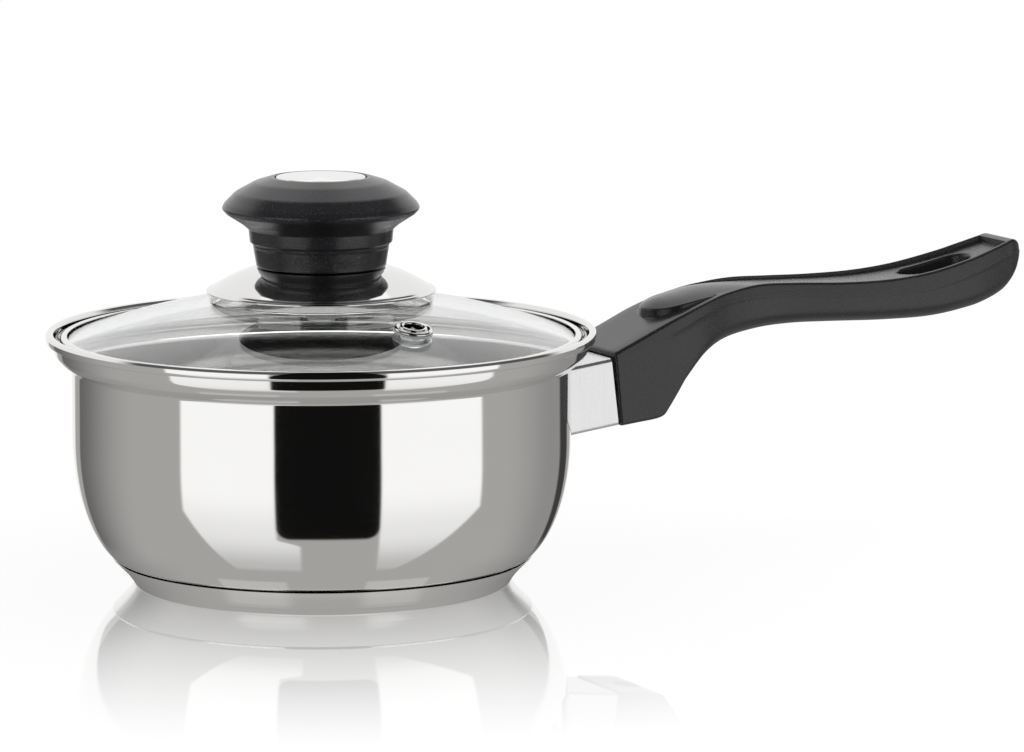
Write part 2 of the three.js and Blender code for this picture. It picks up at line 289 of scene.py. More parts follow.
def bakelite():
    """Moulded thermoset: charcoal, with a fine spark-eroded grain that catches the light, and painted glints:
    lighter specks in its colour.
    """
    colour = bpy.context.scene.saucepan_finishes.bakelite
    finish = Finish("bakelite", Roughness=0.25, Specular_IOR_Level=0.5)
    grain = finish.noise(2000.0, detail=2.0, roughness=0.55)
    cells = finish.node("ShaderNodeTexVoronoi", {"feature": "F1"}, {"Vector": finish.place, "Scale": 1900.0})
    cloud = finish.noise(70.0, detail=3.0)
    # painted glints: where the grain is high, the colour is made up to four times lighter, standing in for
    # light caught by the grain; the cloud adds random tone
    painted_glints = finish.step(grain, 0.56, 0.74)
    finish.feed(
        Base_Color=finish.tint(painted_glints * 0.8 + cloud * 0.2, colour, [c * 4.0 for c in colour]),
        Roughness=0.15 + 0.06 * cloud + 0.1 * grain,
    )
    finish.relief(grain * 0.6 + cells * 0.7, 0.00004)
    return finish.material


def clear_glass():
    """Tempered soda glass with the faintest green and an almost flat fire polish."""
    finish = Finish("clear_glass", Roughness=0.0, IOR=1.5, Transmission_Weight=1.0)
    ripple = finish.noise(22.0, detail=1.0)
    finish.feed(Base_Color=finish.tint(ripple, (0.975, 0.988, 0.984), (0.985, 0.994, 0.991)))
    finish.relief(ripple, 0.00002, 0.5)
    return finish.material


def silicone():
    finish = Finish("silicone", Roughness=0.55)
    grain = finish.noise(1200.0)
    finish.feed(
        Base_Color=finish.tint(grain, (0.33, 0.33, 0.34), (0.42, 0.42, 0.43)),
        Roughness=0.5 + 0.2 * grain,
    )
    finish.relief(grain, 0.00001)
    return finish.material


def nylon():
    finish = Finish("nylon", Roughness=0.45, Subsurface_Weight=0.1)
    grain = finish.noise(600.0)
    finish.feed(
        Base_Color=finish.tint(grain, (0.66, 0.64, 0.58), (0.76, 0.74, 0.68)),
        Roughness=0.4 + 0.15 * grain,
    )
    finish.relief(grain, 0.00001)
    return finish.material


FINISH_MAKERS = {
    "mirror_steel": mirror_steel,
    "satin_steel": satin_steel,
    "turned_steel": turned_steel,
    "plated_steel": plated_steel,
    "cast_aluminium": cast_aluminium,
    "turned_brass": turned_brass,
    "bakelite": bakelite,
    "clear_glass": clear_glass,
    "silicone": silicone,
    "nylon": nylon,
}


# ---------------------------------------------------------------- outlines


def arc(centre_r, centre_z, radius_r, radius_z, from_deg, to_deg, steps):
    """Points on part of an ellipse, from one angle to another."""
    angles = [math.radians(from_deg + (to_deg - from_deg) * i / steps) for i in range(steps + 1)]
    return [(centre_r + radius_r * math.cos(a), centre_z + radius_z * math.sin(a)) for a in angles]


def hermite(keys, x):
    """A smooth value at x from keys (x, value, value, ...), whose slopes come from their neighbours."""
    last = len(keys) - 2
    i = max(k for k in range(last + 1) if k == 0 or keys[k][0] <= x)
    a, b = keys[i], keys[i + 1]
    before, after = keys[max(i - 1, 0)], keys[min(i + 2, last + 1)]
    span = b[0] - a[0]
    t = min(max((x - a[0]) / span, 0.0), 1.0)
    values = []
    for p, q, r, s in zip(before[1:], a[1:], b[1:], after[1:]):
        slope_a = (r - p) / (b[0] - before[0]) * span
        slope_b = (s - q) / (after[0] - a[0]) * span
        values.append(
            (2 * t**3 - 3 * t**2 + 1) * q
            + (t**3 - 2 * t**2 + t) * slope_a
            + (3 * t**2 - 2 * t**3) * r
            + (t**3 - t**2) * slope_b
        )
    return values if len(values) > 1 else values[0]


def flowing(points, steps=6):
    """A smooth line through the points."""
    places = [0.0]
    for p, q in zip(points, points[1:]):
        places.append(places[-1] + math.dist(p, q))
    keys = [(place, *point) for place, point in zip(places, points)]
    line = []
    for a, b in zip(places, places[1:]):
        line += [tuple(hermite(keys, a + (b - a) * i / steps)) for i in range(steps)]
    return [*line, points[-1]]


def eased(corners, steps=5):
    """A closed outline from corners (x, z, radius), each rounded to its radius."""
    line = []
    for i, (x, z, radius) in enumerate(corners):
        here = Vector((x, z))
        before = Vector(corners[i - 1][:2]) - here
        after = Vector(corners[(i + 1) % len(corners)][:2]) - here
        half = before.angle(after) / 2
        reach = min(radius / math.tan(half), 0.49 * before.length, 0.49 * after.length)
        if reach < 0.001:
            line.append((x, z))
            continue
        radius = reach * math.tan(half)
        centre = here + (before.normalized() + after.normalized()).normalized() * radius / math.sin(half)
        start = here + before.normalized() * reach - centre
        end = here + after.normalized() * reach - centre
        first = math.atan2(start.y, start.x)
        turn = (math.atan2(end.y, end.x) - first + math.pi) % math.tau - math.pi
        for k in range(steps + 1):
            angle = first + turn * k / steps
            line.append((centre.x + radius * math.cos(angle), centre.y + radius * math.sin(angle)))
    return line


def ring_section(inner, outer, low, high, ease=0.12):
    """The section of a washer, sleeve or ring with softened edges."""
    return eased([(inner, low, ease), (outer, low, ease), (outer, high, ease), (inner, high, ease)], 3)


# ---------------------------------------------------------------- turned pieces


def turning_tree():
    """Geometry nodes that turn an outline, drawn as radius along X and height along Z, about the Z axis."""
    if "turned_piece" in bpy.data.node_groups:
        return bpy.data.node_groups["turned_piece"]
    tree = bpy.data.node_groups.new("turned_piece", "GeometryNodeTree")
    tree.interface.new_socket("Outline", in_out="INPUT", socket_type="NodeSocketGeometry")
    tree.interface.new_socket("Segments", in_out="INPUT", socket_type="NodeSocketInt")
    tree.interface.new_socket("Finish", in_out="INPUT", socket_type="NodeSocketMaterial")
    tree.interface.new_socket("Piece", in_out="OUTPUT", socket_type="NodeSocketGeometry")
    board = Board(tree)
    given = tree.nodes.new("NodeGroupInput")
    outline, segments, finish = [Wire(board, given.outputs[i]) for i in range(3)]
    count = board.node("GeometryNodeAttributeDomainSize", sockets={"Geometry": outline})
    grid = board.node(
        "GeometryNodeMeshGrid", sockets={"Vertices X": segments + 1, "Vertices Y": count}
    )
    index = board.node("GeometryNodeInputIndex")
    segment = board.maths("FLOOR", index / count)
    point = board.node(
        "GeometryNodeSampleIndex",
        {"data_type": "FLOAT_VECTOR"},
        {
            "Geometry": outline,
            "Value": board.node("GeometryNodeInputPosition"),
            "Index": index - segment * count,
        },
    )
    radius, _, height = board.split(point)
    angle = segment / segments * math.tau
    turned = board.node(
        "GeometryNodeSetPosition",
        sockets={
            "Geometry": grid,
            "Position": board.join(
                radius * board.maths("COSINE", angle), radius * board.maths("SINE", angle), height
            ),
        },
    )
    closed = board.node("GeometryNodeMergeByDistance", sockets={"Geometry": turned, "Distance": 1e-6})
    real = board.node("GeometryNodeRealizeInstances", sockets={"Geometry": closed})
    painted = board.node("GeometryNodeSetMaterial", sockets={"Geometry": real, "Material": finish})
    result = tree.nodes.new("NodeGroupOutput")
    tree.links.new(painted.socket, result.inputs[0])
    return tree


def inlet(tree, name):
    """The identifier of a tree's named input."""
    return next(item.identifier for item in tree.interface.items_tree if item.name == name)


def settle(obj):
    """Turns what the object's modifiers make into its plain mesh, and removes them."""
    bpy.context.view_layer.update()
    evaluated = obj.evaluated_get(bpy.context.evaluated_depsgraph_get())
    mesh = bpy.data.meshes.new_from_object(evaluated)
    obj.modifiers.clear()
    obj.data = mesh
    return obj


def tidy_mesh(obj, crease_deg):
    """Merges doubles, points the faces outwards and keeps edges sharper than the crease angle."""
    work = bmesh.new()
    work.from_mesh(obj.data)
    bmesh.ops.remove_doubles(work, verts=work.verts, dist=2e-6)
    bmesh.ops.dissolve_degenerate(work, edges=work.edges, dist=1e-6)
    bmesh.ops.recalc_face_normals(work, faces=work.faces)
    if work.calc_volume(signed=True) < 0:
        bmesh.ops.reverse_faces(work, faces=work.faces)
    work.to_mesh(obj.data)
    work.free()
    obj.data.shade_smooth()
    obj.data.set_sharp_from_angle(angle=math.radians(crease_deg))
    return obj


def place_piece(name, mesh):
    obj = bpy.data.objects.new(name, mesh)
    bpy.context.scene.collection.objects.link(obj)
    return obj


def turned(name, outline, finish, closed=True, segments=None, crease_deg=32, move=None):
    """A piece turned about the Z axis. An open outline starts and ends on the axis."""
    points = [*outline, outline[0]] if closed else outline
    line = bpy.data.meshes.new(name)
    steps = [(i, i + 1) for i in range(len(points) - 1)]
    line.from_pydata([(r * MM, 0.0, z * MM) for r, z in points], steps, [])
    obj = place_piece(name, line)
    tree = turning_tree()
    spin = obj.modifiers.new("turned", "NODES")
    spin.node_group = tree
    spin[inlet(tree, "Segments")] = segments or bpy.context.scene.saucepan_pan.segments
    spin[inlet(tree, "Finish")] = finish_named(finish)
    settle(obj)
    if move:
        obj.data.transform(move)
    return tidy_mesh(obj, crease_deg)


def cut_away(obj, *cutters):
    """Subtracts closed meshes from the piece, and removes them."""
    for cutter in cutters:
        tool = obj.modifiers.new("cut", "BOOLEAN")
        tool.operation = "DIFFERENCE"
        tool.solver = "EXACT"
        tool.object = cutter
    settle(obj)
    for cutter in cutters:
        bpy.data.objects.remove(cutter)
    return obj


def hand_over(obj, body, slot, *nodes):
    """Says which body the piece rides on and which nodes it stands for. The slot, its finish, is not used."""
    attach(obj, body)
    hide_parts(*nodes)
    return obj


# ---------------------------------------------------------------- pan and base


def flattened(across, up):
    """A point of the rolled bead, whose section is an upright oval with a flattened front."""
    wide = math.copysign(abs(across) ** 0.8, across)
    tall = math.copysign(abs(up) ** 0.8, up)
    return BEAD_R + BEAD * wide, BEAD_Z + BEAD_TALL * tall


def pan_outline():
    """The pan's wall, up its outside, round the rolled bead and down its inside."""
    centre_r = PAN_R - CORNER_R
    centre_z = PAN_FLOOR_Z + CORNER_H
    outside = arc(centre_r, centre_z, CORNER_R, CORNER_H, -90, 0, 30)
    inside = arc(centre_r, centre_z, CORNER_R - PAN_WALL, CORNER_H - PAN_WALL, 0, -90, 24)
    # Both flares are steps from the crease: outwards, then upwards.
    flare = [
        (0.0, -0.5), (0.03, -0.2), (0.2, 0.25), (0.75, 0.8), (2.1, 1.65), (3.85, 3.1), (4.95, 4.4),
        (5.45, 5.2), (5.7, 6.1), (6.15, 8.6),
    ]
    inner_flare = [
        (5.42, 8.7), (4.92, 6.65), (4.68, 5.75), (4.15, 4.9), (3.22, 3.65), (1.6, 2.2), (0.3, 1.4),
        (-0.35, 0.9), (-0.68, 0.3), (-0.75, -0.3),
    ]
    up = [(PAN_R + dr, CREASE_Z + dz) for dr, dz in flare]
    down = [(PAN_R + dr, CREASE_Z + dz) for dr, dz in inner_flare]
    bead = [flattened(*point) for point in arc(0.0, 0.0, 1.0, 1.0, -75, 200, 26)]
    wall = [(PAN_R, CORNER_H + PAN_FLOOR_Z + 8.0)]
    return [
        (0.0, PAN_FLOOR_Z), (30.0, PAN_FLOOR_Z), *outside, *wall, *flowing(up, 4), *bead, *flowing(down, 4),
        (PAN_R - PAN_WALL, 56.0), *inside, (30.0, PAN_FLOOR_Z + PAN_WALL), (0.0, PAN_FLOOR_Z + PAN_WALL),
    ]


def build_pan_body():
    pan = turned("pan_wall_polished", pan_outline(), "mirror_steel", closed=False, crease_deg=40)
    hand_over(pan, "pan", "mirror_steel", "pan_body")


def cap_line(inset):
    """The side of the capsule base, set in by the sheet's thickness for its inner face."""
    return flowing([
        (CAP_R + 0.9 - inset, 2.15 + inset * 0.3),
        (CAP_R + 2.5 - inset, 4.2 + inset * 0.2),
        (CAP_R + 4.5 - inset, 6.3 + inset * 0.2),
        (CAP_LIP_R - inset, CAP_LIP_Z),
    ], 5)


def build_base():
    outer = [(0.0, 0.0), (30.0, 0.0), *arc(CAP_R - 0.9, 0.9, 0.9, 0.9, -90, -35, 5), *cap_line(0.0)]
    inner = [*reversed(cap_line(CAP_SHEET)), (CAP_R - 1.0, CAP_SHEET), (30.0, CAP_SHEET), (0.0, CAP_SHEET)]
    cap = turned("base_cap_spun", outer + inner, "turned_steel", closed=False)
    hand_over(cap, "pan", "satin_steel", "base_cap")


# ---------------------------------------------------------------- handle

# Cross-wise rungs of the handle's side view: top X and Z, then X and Z under it.
RUNGS = [
    (98.9, 69.5, 101.5, 44.9), (107.0, 73.0, 108.0, 45.6), (115.0, 76.6, 114.5, 46.3),
    (119.5, 78.6, 117.6, 47.2), (123.0, 80.0, 119.2, 48.9), (127.5, 81.65, 122.6, 53.3),
    (131.0, 82.9, 126.0, 57.8), (136.5, 84.6, 134.0, 65.3), (143.0, 86.25, 143.0, 69.8),
    (156.0, 87.95, 156.0, 72.3), (170.0, 87.7, 170.0, 73.3), (188.0, 86.95, 186.0, 73.2),
    (206.0, 87.0, 206.0, 72.6), (222.0, 88.5, 224.0, 72.7), (238.0, 91.7, 240.0, 74.6),
    (247.5, 94.3, 247.5, 76.4), (254.2, 96.3, 253.6, 78.8), (256.8, 97.0, 256.2, 80.9),
    (258.6, 96.5, 258.2, 83.2), (259.9, 95.3, 259.8, 86.1), (260.7, 93.9, 260.8, 89.0),
    (261.1, 92.7, 261.1, 91.4),
]
# Half the handle's width, then the thumb panel's height and half its width, at places along X.
HALF_WIDTHS = [
    (98, 16.5), (110, 16.5), (122, 16.5), (132, 15.6), (145, 12.9), (160, 11.0), (172, 11.4), (190, 13.5),
    (206, 14.4), (224, 14.2), (242, 12.6), (254, 10.6), (259, 9.2), (261.4, 6.4),
]
PANEL_HEIGHTS = [
    (118, 81.2), (122, 82.1), (128, 83.6), (139, 85.4), (157, 86.9), (172, 86.5), (190, 85.7), (206, 85.7),
    (222, 87.1), (238, 90.1), (254.2, 94.4),
]
PANEL_WIDTHS = [
    (128, 11.0), (132, 11.4), (145, 11.2), (160, 9.6), (172, 10.0), (190, 12.1), (206, 13.0), (224, 12.8),
    (242, 11.2), (254.2, 9.4),
]
# How far up the handle's side its parting line runs, as a share of the height.
PARTING = [
    (99, 0.9), (115, 0.86), (132, 0.83), (147, 0.76), (158, 0.72), (190, 0.66), (219, 0.63), (243, 0.7),
    (262, 0.72),
]
PANEL_START, PANEL_END = 118.0, 254.2
PANEL_NOSE, NOSE_HALF_WIDTH = 11.2, 11.2  # the blunt start of the panel: its length, and half its width
SLOT_FROM, SLOT_TO, SLOT_R = 224.0, 237.5, 6.5


def panel_half_width(x):
    """Half the width of the thumb panel, which starts as a blunt nose."""
    if x < PANEL_START or x > PANEL_END + 0.1:
        return 0.0 if x < PANEL_START else hermite(PANEL_WIDTHS, PANEL_END)
    back = (x - PANEL_START) / PANEL_NOSE
    if back < 1.0:
        return NOSE_HALF_WIDTH * math.sqrt(1.0 - (1.0 - back) ** 2)
    return hermite(PANEL_WIDTHS, x)


def pad_swell(x):
    """How far the thumb pad's middle stands above its sides."""
    rise = min((x - PANEL_START) / 6.0, 1.0)
    fade = min(max((166.0 - x) / 28.0, 0.0), 1.0)
    return 1.8 * math.sin(math.pi / 2 * rise) * fade * fade * (3 - 2 * fade)


def handle_stations():
    """Places along the handle's top, closer together where its shape turns quickly."""
    root_end = RUNGS[0][0]
    edge = [root_end + d for d in (0.0, 0.05, 0.2, 0.45, 0.8, 1.3)]
    body = [root_end + 2.5 + i * (PANEL_START - root_end - 2.6) / 12 for i in range(13)]
    nose = [PANEL_START + PANEL_NOSE * (i / 18) ** 2 for i in range(1, 19)]
    start = [PANEL_START - 0.02, PANEL_START + 0.01]
    grip_from = nose[-1]
    grip = [grip_from + (PANEL_END - 0.8 - grip_from) * i / 96 for i in range(1, 97)]
    wall = [PANEL_END - 0.5, PANEL_END - 0.25, PANEL_END - 0.02, PANEL_END + 0.12, PANEL_END + 0.4]
    lip_from, tip = PANEL_END + 0.8, RUNGS[-1][0]
    lip = [lip_from + (tip - lip_from) * math.sin(math.pi / 2 * i / 22) for i in range(23)]
    return edge + body + start + nose + grip + wall + lip


def handle_half_section(x):
    """Half a cross-section, from under to top: distances from the middle and heights up the rung."""
    top_x, top_z, under_x, under_z = x, *hermite(RUNGS, x)
    tall = math.hypot(top_x - under_x, top_z - under_z)
    grip = min(max((x - 117.0) / 26.0, 0.0), 1.0)
    grip = grip * grip * (3 - 2 * grip)
    edge = 1.0 - min(max((x - RUNGS[0][0]) / 0.8, 0.0), 1.0)
    inset = 0.8 * (1.0 - math.sqrt(1.0 - edge * edge))
    parting = hermite(PARTING, x) * tall
    seam = min(0.25, parting * 0.2, (tall - parting) * 0.2)
    lean = 0.3 + 0.3 * grip
    round_w = min(1.4 + 4.2 * grip, parting * 0.75)
    top_ease = min(1.2 - 0.3 * grip, tall * 0.2)

    def width(w):
        here = under_x + (top_x - under_x) * w / tall
        return hermite(HALF_WIDTHS, here) - inset

    def side(w):
        above = max(w - parting, 0.0) / (tall - parting)
        step_out = min(max((w - parting) / seam + 1.0, 0.0), 1.0) * min(1.0, max(0.0, (x - 108.0) / 14.0))
        return width(w) - lean * above + 0.14 * step_out - 0.14

    round_y = min(1.4 + 5.0 * grip, 0.8 * side(round_w))
    rows = [(side(round_w) - round_y) * i / 3 for i in range(3)]
    half = [(y, inset) for y in rows]
    for i in range(11):
        angle = math.pi / 2 * i / 10
        w = round_w * (1.0 - math.cos(angle)) + inset
        half.append((side(round_w) - round_y * (1.0 - math.sin(angle)), w))
    lower = [round_w + (parting - seam - round_w) * i / 5 for i in range(1, 6)]
    upper_from = parting + seam
    upper_to = tall - inset - top_ease
    upper = [upper_from + (upper_to - upper_from) * i / 5 for i in range(6)]
    half += [(side(w), w) for w in [*lower, parting, *upper]]
    shoulder = side(upper_to)
    for i in range(1, 6):
        angle = math.pi / 2 * i / 5
        half.append((
            shoulder - top_ease * (1.0 - math.cos(angle)),
            upper_to + top_ease * math.sin(angle),
        ))
    return half + panel_section(x, shoulder - top_ease, tall - inset, top_z)


def panel_section(x, lip_outer, tall, top_z):
    """The lip, the step and the thumb panel, as part of a half section."""
    panel = panel_half_width(x)
    on_panel = PANEL_START < x <= PANEL_END
    rise = hermite(PANEL_HEIGHTS, x) - top_z if on_panel else 0.0
    panel = min(panel, lip_outer - 0.55)
    crown = min(0.6 if rise > 0 else 0.25, abs(rise) * 0.45)
    foot = min(0.25, abs(rise) * 0.45)
    way = 1.0 if rise > 0 else -1.0
    points = [(lip_outer + (panel + foot - lip_outer) * i / 3, tall) for i in range(1, 4)]
    for angle in (30, 60, 90):
        a = math.radians(angle)
        points.append((panel + foot * (1 - math.sin(a)), tall + way * foot * (1 - math.cos(a))))
    for angle in (0, 30, 60, 90):
        a = math.radians(angle)
        points.append((panel - crown * (1 - math.cos(a)), tall + rise - way * crown * (1 - math.sin(a))))
    swell = pad_swell(x) if on_panel else 0.0
    for i in range(1, 8):
        share = 1 - i / 7
        points.append(((panel - crown) * share, tall + rise + swell * (1 - share * share)))
    return [(max(y, 0.0), w) for y, w in points]


def handle_ring(x):
    """One closed cross-section of the handle, in metres."""
    top_z, under_x, under_z = hermite(RUNGS, x)
    foot = Vector((under_x, 0.0, under_z))
    rise = Vector((x, 0.0, top_z)) - foot
    up = rise.normalized()
    half = handle_half_section(x)
    both = half + [(-y, w) for y, w in reversed(half[1:-1])]
    return [(foot + up * w + Vector((0.0, y, 0.0))) * MM for y, w in both]


def lofted(name, rings, cap=True):
    """A mesh through a row of closed rings with the same number of points."""
    count = len(rings[0])
    points = [p for loop in rings for p in loop]
    faces = []
    for k in range(len(rings) - 1):
        for i in range(count):
            j = (i + 1) % count
            faces.append((k * count + i, k * count + j, (k + 1) * count + j, (k + 1) * count + i))
    if cap:
        faces.append(tuple(range(count)))
        faces.append(tuple(len(points) - 1 - i for i in range(count)))
    mesh = bpy.data.meshes.new(name)
    mesh.from_pydata([tuple(p) for p in points], [], faces)
    return place_piece(name, mesh)


def under_height(x):
    """Height of the handle's underside above a place along it."""
    keys = [(rung[2], rung[3]) for rung in RUNGS[8:17]]
    return hermite(keys, x)


def slot_cutter():
    """The hanging slot, flared where it meets the panel and the underside."""
    ends = [(SLOT_TO, -90.0), (SLOT_FROM, 90.0)]
    levels = [
        ("under", -4.0, 1.3), ("under", 0.0, 1.15), ("under", 0.35, 0.5), ("under", 1.0, 0.12),
        ("under", 2.0, 0.0), ("panel", -1.3, 0.0), ("panel", -0.6, 0.1), ("panel", -0.2, 0.35),
        ("panel", 0.03, 0.8), ("panel", 5.0, 0.95),
    ]
    rings = []
    for surface, lift, grow in levels:
        loop = []
        for centre, first in ends:
            for i in range(25):
                a = math.radians(first + 180.0 * i / 24)
                x = centre + (SLOT_R + grow) * math.cos(a)
                y = (SLOT_R + grow) * math.sin(a)
                base = under_height(x) if surface == "under" else hermite(PANEL_HEIGHTS, x)
                loop.append(Vector((x, y, base + lift)) * MM)
        rings.append(loop)
    return tidy_mesh(lofted("slot_cutter", rings), 30)


def tilted_frame():
    """From the bracket's own axes, with X along it, to the pan's."""
    return Matrix.Translation((ROOT_X * MM, 0.0, ROOT_Z * MM)) @ Matrix.Rotation(-TILT, 4, "Y")


def bracket_socket():
    """The slot in the handle's root that takes the bracket's flat bar."""
    side, half, ease = 9.4, 1.9, 0.3
    corners = [(-side, -half, ease), (side, -half, ease), (side, half, ease), (-side, half, ease)]
    section = [(y * MM, z * MM) for y, z in eased(corners, 3)]
    rings = [[Vector((x * MM, y, z)) for y, z in section] for x in (14.0, 43.0)]
    cutter = lofted("socket_cutter", rings)
    cutter.data.transform(tilted_frame())
    return tidy_mesh(cutter, 30)


def screw_bore():
    """The stepped hole from below that the handle screw stands in."""
    section = [(0.0, -30.0), (5.2, -30.0), (5.2, -6.0), (2.9, -6.0), (2.9, 4.2), (0.0, 4.2)]
    place = tilted_frame() @ Matrix.Translation((SCREW_ALONG * MM, 0.0, 0.0))
    return turned("bore_cutter", section, "bakelite", closed=False, segments=48, move=place)


def build_handle():
    handle = lofted("handle_moulding", [handle_ring(x) for x in handle_stations()])
    handle.data.materials.append(finish_named("bakelite"))
    tidy_mesh(handle, 60)
    cut_away(handle, slot_cutter(), bracket_socket(), screw_bore())
    tidy_mesh(handle, 38)
    hand_over(handle, "pan", "black_bakelite", "handle")


def guard_ring(along, ease, inset):
    """One section of the flame guard. The pan's end is cut upright, so it is given as a distance in X."""
    side = GUARD_HALF_WIDTH - inset
    low, high = -GUARD_HALF_HEIGHT + inset, GUARD_HALF_HEIGHT - inset
    corners = [(-side, low, ease), (side, low, ease), (side, high, ease), (-side, high, ease)]
    ring = []
    for y, z in eased(corners, 8):
        x = along if along > 5.0 else (along + z * math.sin(TILT)) / math.cos(TILT)
        ring.append(Vector((x * MM, y * MM, z * MM)))
    return ring


def build_guard():
    """A folded steel sleeve, open at both ends."""
    start, end, sheet, lip = 1.05, 18.8, 0.8, 0.15
    rings = [
        guard_ring(start + lip, 1.5, 0.0), guard_ring(start + 1.0, 1.5, 0.0), guard_ring(end - 1.0, 1.5, 0.0),
        guard_ring(end - lip, 1.5, 0.0), guard_ring(end, 1.35, lip), guard_ring(end, 0.85, sheet - lip),
        guard_ring(end - lip, 0.7, sheet), guard_ring(start + lip, 0.7, sheet),
        guard_ring(start, 0.85, sheet - lip), guard_ring(start, 1.35, lip),
    ]
    guard = lofted("guard_sleeve", [*rings, rings[0]], cap=False)
    guard.data.materials.append(finish_named("satin_steel"))
    guard.data.transform(tilted_frame())
    tidy_mesh(guard, 40)
    hand_over(guard, "pan", "satin_steel", "flame_guard")


def cross_recess():
    """The cross in the screw's head, cut from below."""
    rings = []
    for z, arm, thick in ((-11.4, 2.6, 0.75), (-10.4, 2.5, 0.7), (-9.0, 1.2, 0.35)):
        plus = [(arm, thick), (thick, thick), (thick, arm)]
        loop = []
        for quarter in range(4):
            c, s = round(math.cos(quarter * math.pi / 2)), round(math.sin(quarter * math.pi / 2))
            loop += [Vector(((x * c - y * s) * MM, (x * s + y * c) * MM, z * MM)) for x, y in plus]
        rings.append(loop)
    return tidy_mesh(lofted("recess_cutter", rings), 30)


def build_handle_screw():
    place = tilted_frame() @ Matrix.Translation((SCREW_ALONG * MM, 0.0, 0.0))
    head = flowing([(0.0, HANDLE_SCREW_LOW), (2.0, -10.35), (3.6, -9.95), (4.3, -9.2), (4.4, -8.6)], 4)
    shank = [(4.4, -7.6), (2.5, -7.6), (2.5, 3.2), (2.1, 3.6), (0.0, 3.6)]
    screw = turned("handle_screw_machined", head + shank, "plated_steel", closed=False, segments=64)
    cut_away(screw, cross_recess())
    screw.data.transform(place)
    tidy_mesh(screw, 35)
    hand_over(screw, "pan", "fastener_steel", "handle_screw")
    section = ring_section(2.85, 4.6, -7.25, -6.35)
    washer = turned("handle_lock_washer_round", section, "plated_steel", segments=64, move=place)
    hand_over(washer, "pan", "fastener_steel", "handle_lock_washer")


# ---------------------------------------------------------------- lid


def dome_height(r, depth=0.0):
    return APEX_Z - SPHERE_R + math.sqrt((SPHERE_R - depth) ** 2 - r * r)


def vent_frame():
    """From a piece drawn about its own axis, with the glass at height 0, to its place on the dome."""
    lean = math.asin(VENT_FROM_AXIS / SPHERE_R)
    up = Matrix.Translation((0.0, 0.0, SPHERE_R * MM))
    down = Matrix.Translation((0.0, 0.0, (APEX_Z - SPHERE_R) * MM))
    turn = Matrix.Rotation(math.radians(VENT_AZIMUTH), 4, "Z")
    return turn @ down @ Matrix.Rotation(lean, 4, "Y") @ up


def build_glass():
    """The dome, with its ground edge and the two holes."""
    edge, hole = GLASS_R - 0.6, GLASS_HOLE_R + 0.3
    radii = [hole + (edge - hole) * i / 40 for i in range(41)]
    top = [(r, dome_height(r)) for r in reversed(radii)]
    under = [(r, dome_height(r, GLASS_THICK)) for r in radii]
    low, high = under[-1][1], top[0][1]
    rim = [
        (GLASS_R - 0.17, low + 0.25), (GLASS_R, low + 0.7),
        (GLASS_R, high - 0.7), (GLASS_R - 0.17, high - 0.22),
    ]
    bore = [(GLASS_HOLE_R, top[-1][1] - 0.3), (GLASS_HOLE_R, under[0][1] + 0.3)]
    glass = turned("glass_dome", [*under, *rim, *top, *bore], "clear_glass", crease_deg=50)
    rod = [(0.0, -8.0), (VENT_HOLE_R, -8.0), (VENT_HOLE_R, 4.0), (0.0, 4.0)]
    hole_cutter = turned("vent_cutter", rod, "clear_glass", closed=False, segments=72, move=vent_frame())
    cut_away(glass, hole_cutter)
    tidy_mesh(glass, 50)
    glass.visible_shadow = False
    hand_over(glass, "lid", "clear_glass", "lid_glass")


def build_rim_band():
    """The steel band rolled round the edge of the glass."""
    outer, top, bottom, sheet, lip, foot = 84.3, 81.0, 74.3, 0.6, 82.1, 81.2
    inner = outer - sheet
    section = eased([
        (foot, bottom, 0.2), (outer, bottom, 1.0), (outer, top, 1.1), (lip, top - 0.1, 0.25),
        (lip, top - sheet, 0.15), (inner, top - sheet, 0.5),
        (inner, bottom + sheet, 0.5), (foot, bottom + sheet, 0.2),
    ], 6)
    band = turned("rim_band_rolled", section, "mirror_steel")
    hand_over(band, "lid", "mirror_steel", "lid_rim_band")


def build_vent():
    """The eyelet that lets steam out, its gasket above the glass and its washer below."""
    bore, barrel, flange = 3.1, 3.7, 6.1
    rolled = arc(3.72, 1.72, 0.66, 0.68, 10, 175, 10)
    rolled_foot = arc(4.25, -5.55, 0.7, 0.35, -170, 80, 8)
    section = [
        *rolled_foot, (barrel, -5.15), (barrel, 1.1),
        (flange - 0.15, 1.1), (flange, 1.25), (flange - 0.05, 1.5),
        *flowing([(flange - 0.3, 1.8), (5.45, 1.95), (4.95, 1.75), (4.6, 1.35), (4.4, 1.35)], 3), *rolled,
    ]
    section = [(max(r, bore), z) for r, z in section]
    eyelet = turned(
        "vent_eyelet_rolled", section, "mirror_steel", segments=96, crease_deg=40, move=vent_frame()
    )
    hand_over(eyelet, "lid", "mirror_steel", "vent_eyelet")
    rings = (
        ("vent_gasket_soft", "vent_gasket", 4.0, 6.3, 0.3, 0.8, "silicone", "silicone"),
        ("vent_washer_flat", "vent_washer", 4.1, 6.3, -4.9, -4.3, "plated_steel", "fastener_steel"),
    )
    for name, node, inner, outer, low, high, finish, slot in rings:
        section = ring_section(inner, outer, low, high)
        washer = turned(name, section, finish, segments=72, move=vent_frame())
        hand_over(washer, "lid", slot, node)


def build_rose():
    """The domed steel rose under the knob, with a rolled edge."""
    over = flowing([
        (21.0, 102.6), (24.0, 101.75), (27.5, 100.35), (31.0, 98.65), (34.0, 96.9), (35.6, 95.85),
    ], 5)
    edge = [
        (35.75, 95.62), *arc(36.1, 94.9, 1.0, 0.75, 80, -20, 8), (36.75, 93.4), (36.4, 92.5),
        *arc(35.95, 92.45, 0.4, 0.4, -10, -140, 5),
    ]
    under = flowing([
        (35.35, 93.6), (35.1, 95.0), (33.4, 96.2), (30.5, 97.95), (27.2, 99.6), (23.8, 100.9), (20.8, 101.8),
    ], 4)
    section = [(3.2, 101.8), (3.2, 102.6), *over, *edge, *under]
    rose = turned("rose_polished", section, "mirror_steel", segments=192, crease_deg=45)
    hand_over(rose, "lid", "mirror_steel", "knob_rose")


